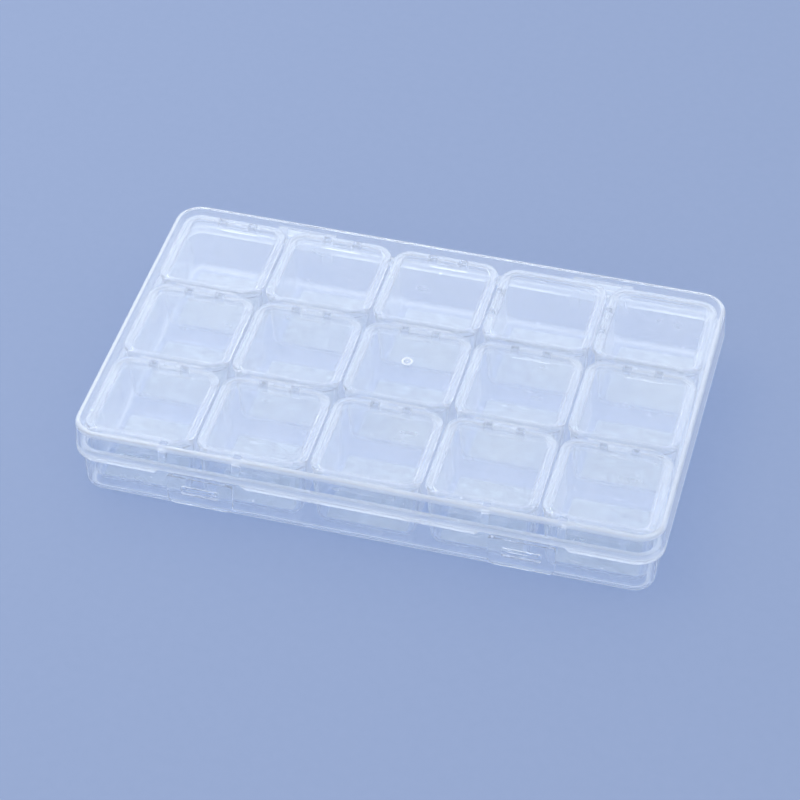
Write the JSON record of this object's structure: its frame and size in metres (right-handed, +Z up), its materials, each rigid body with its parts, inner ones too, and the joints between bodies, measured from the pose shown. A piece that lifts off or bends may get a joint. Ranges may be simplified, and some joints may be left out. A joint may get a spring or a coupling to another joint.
{
  "type": "craft organizer box",
  "caption": "Flat clear plastic craft organizer: a hinged, latched case that holds a grid of small lidded boxes for beads and other small parts.",
  "frame": {"origin": "middle of the base's flat underside", "axes": "+X along the case's length to the right, +Y to the hinges at the back, +Z up"},
  "size_m": [0.177, 0.1147, 0.025],
  "materials": {
    "case_plastic": "clear polypropylene, smooth",
    "box_plastic": "slightly milky polypropylene, smooth"
  },
  "bodies": {
    "case": {"case_base": "case_plastic", "tub_front_1": "box_plastic", "tub_front_2": "box_plastic", "tub_front_3": "box_plastic", "tub_front_4": "box_plastic", "tub_front_5": "box_plastic", "tub_middle_1": "box_plastic", "tub_middle_2": "box_plastic", "tub_middle_3": "box_plastic", "tub_middle_4": "box_plastic", "tub_middle_5": "box_plastic", "tub_back_1": "box_plastic", "tub_back_2": "box_plastic", "tub_back_3": "box_plastic", "tub_back_4": "box_plastic", "tub_back_5": "box_plastic"},
    "case_lid": {"case_lid": "case_plastic"},
    "latch_left": {"latch_left": "case_plastic"},
    "latch_right": {"latch_right": "case_plastic"},
    "tub_lid_front_1": {"tub_lid_front_1": "box_plastic"},
    "tub_lid_front_2": {"tub_lid_front_2": "box_plastic"},
    "tub_lid_front_3": {"tub_lid_front_3": "box_plastic"},
    "tub_lid_front_4": {"tub_lid_front_4": "box_plastic"},
    "tub_lid_front_5": {"tub_lid_front_5": "box_plastic"},
    "tub_lid_middle_1": {"tub_lid_middle_1": "box_plastic"},
    "tub_lid_middle_2": {"tub_lid_middle_2": "box_plastic"},
    "tub_lid_middle_3": {"tub_lid_middle_3": "box_plastic"},
    "tub_lid_middle_4": {"tub_lid_middle_4": "box_plastic"},
    "tub_lid_middle_5": {"tub_lid_middle_5": "box_plastic"},
    "tub_lid_back_1": {"tub_lid_back_1": "box_plastic"},
    "tub_lid_back_2": {"tub_lid_back_2": "box_plastic"},
    "tub_lid_back_3": {"tub_lid_back_3": "box_plastic"},
    "tub_lid_back_4": {"tub_lid_back_4": "box_plastic"},
    "tub_lid_back_5": {"tub_lid_back_5": "box_plastic"}
  },
  "joints": [
    {"name": "case_lid_hinge", "type": "hinge", "parent": "case", "child": "case_lid", "pos_m": [0, 0.0575, 0.0158], "axis": [-1, 0, 0], "range_deg": [0, 180]},
    {"name": "latch_left_hinge", "type": "hinge", "parent": "case_lid", "child": "latch_left", "pos_m": [-0.0483, -0.0542, 0.0154], "axis": [-1, 0, 0], "range_deg": [0, 90]},
    {"name": "latch_right_hinge", "type": "hinge", "parent": "case_lid", "child": "latch_right", "pos_m": [0.0483, -0.0542, 0.0154], "axis": [-1, 0, 0], "range_deg": [0, 90]},
    {"name": "tub_lid_front_1_hinge", "type": "hinge", "parent": "case", "child": "tub_lid_front_1", "pos_m": [-0.0688, -0.0179, 0.02175], "axis": [-1, 0, 0], "range_deg": [0, 90]},
    {"name": "tub_lid_front_2_hinge", "type": "hinge", "parent": "case", "child": "tub_lid_front_2", "pos_m": [-0.0344, -0.0179, 0.02175], "axis": [-1, 0, 0], "range_deg": [0, 90]},
    {"name": "tub_lid_front_3_hinge", "type": "hinge", "parent": "case", "child": "tub_lid_front_3", "pos_m": [0, -0.0179, 0.02175], "axis": [-1, 0, 0], "range_deg": [0, 90]},
    {"name": "tub_lid_front_4_hinge", "type": "hinge", "parent": "case", "child": "tub_lid_front_4", "pos_m": [0.0344, -0.0179, 0.02175], "axis": [-1, 0, 0], "range_deg": [0, 90]},
    {"name": "tub_lid_front_5_hinge", "type": "hinge", "parent": "case", "child": "tub_lid_front_5", "pos_m": [0.0688, -0.0179, 0.02175], "axis": [-1, 0, 0], "range_deg": [0, 90]},
    {"name": "tub_lid_middle_1_hinge", "type": "hinge", "parent": "case", "child": "tub_lid_middle_1", "pos_m": [-0.0688, 0.0165, 0.02175], "axis": [-1, 0, 0], "range_deg": [0, 90]},
    {"name": "tub_lid_middle_2_hinge", "type": "hinge", "parent": "case", "child": "tub_lid_middle_2", "pos_m": [-0.0344, 0.0165, 0.02175], "axis": [-1, 0, 0], "range_deg": [0, 90]},
    {"name": "tub_lid_middle_3_hinge", "type": "hinge", "parent": "case", "child": "tub_lid_middle_3", "pos_m": [0, 0.0165, 0.02175], "axis": [-1, 0, 0], "range_deg": [0, 90]},
    {"name": "tub_lid_middle_4_hinge", "type": "hinge", "parent": "case", "child": "tub_lid_middle_4", "pos_m": [0.0344, 0.0165, 0.02175], "axis": [-1, 0, 0], "range_deg": [0, 90]},
    {"name": "tub_lid_middle_5_hinge", "type": "hinge", "parent": "case", "child": "tub_lid_middle_5", "pos_m": [0.0688, 0.0165, 0.02175], "axis": [-1, 0, 0], "range_deg": [0, 90]},
    {"name": "tub_lid_back_1_hinge", "type": "hinge", "parent": "case", "child": "tub_lid_back_1", "pos_m": [-0.0688, 0.0509, 0.02175], "axis": [-1, 0, 0], "range_deg": [0, 90]},
    {"name": "tub_lid_back_2_hinge", "type": "hinge", "parent": "case", "child": "tub_lid_back_2", "pos_m": [-0.0344, 0.0509, 0.02175], "axis": [-1, 0, 0], "range_deg": [0, 90]},
    {"name": "tub_lid_back_3_hinge", "type": "hinge", "parent": "case", "child": "tub_lid_back_3", "pos_m": [0, 0.0509, 0.02175], "axis": [-1, 0, 0], "range_deg": [0, 90]},
    {"name": "tub_lid_back_4_hinge", "type": "hinge", "parent": "case", "child": "tub_lid_back_4", "pos_m": [0.0186, 0.0351, 0.02175], "axis": [0, -1, 0], "range_deg": [0, 45]},
    {"name": "tub_lid_back_5_hinge", "type": "hinge", "parent": "case", "child": "tub_lid_back_5", "pos_m": [0.053, 0.0351, 0.02175], "axis": [0, -1, 0], "range_deg": [0, 45]}
  ],
  "couplings": [
    {"joint": "tub_lid_front_1_hinge", "follows": "case_lid_hinge", "ratio": 0.5},
    {"joint": "tub_lid_front_2_hinge", "follows": "case_lid_hinge", "ratio": 0.5},
    {"joint": "tub_lid_front_3_hinge", "follows": "case_lid_hinge", "ratio": 0.5},
    {"joint": "tub_lid_front_4_hinge", "follows": "case_lid_hinge", "ratio": 0.5},
    {"joint": "tub_lid_front_5_hinge", "follows": "case_lid_hinge", "ratio": 0.5},
    {"joint": "tub_lid_middle_1_hinge", "follows": "case_lid_hinge", "ratio": 0.5},
    {"joint": "tub_lid_middle_2_hinge", "follows": "case_lid_hinge", "ratio": 0.5},
    {"joint": "tub_lid_middle_3_hinge", "follows": "case_lid_hinge", "ratio": 0.5},
    {"joint": "tub_lid_middle_4_hinge", "follows": "case_lid_hinge", "ratio": 0.5},
    {"joint": "tub_lid_middle_5_hinge", "follows": "case_lid_hinge", "ratio": 0.5},
    {"joint": "tub_lid_back_1_hinge", "follows": "case_lid_hinge", "ratio": 0.5},
    {"joint": "tub_lid_back_2_hinge", "follows": "case_lid_hinge", "ratio": 0.5},
    {"joint": "tub_lid_back_3_hinge", "follows": "case_lid_hinge", "ratio": 0.5},
    {"joint": "tub_lid_back_4_hinge", "follows": "case_lid_hinge", "ratio": 0.25},
    {"joint": "tub_lid_back_5_hinge", "follows": "case_lid_hinge", "ratio": 0.25}
  ]
}
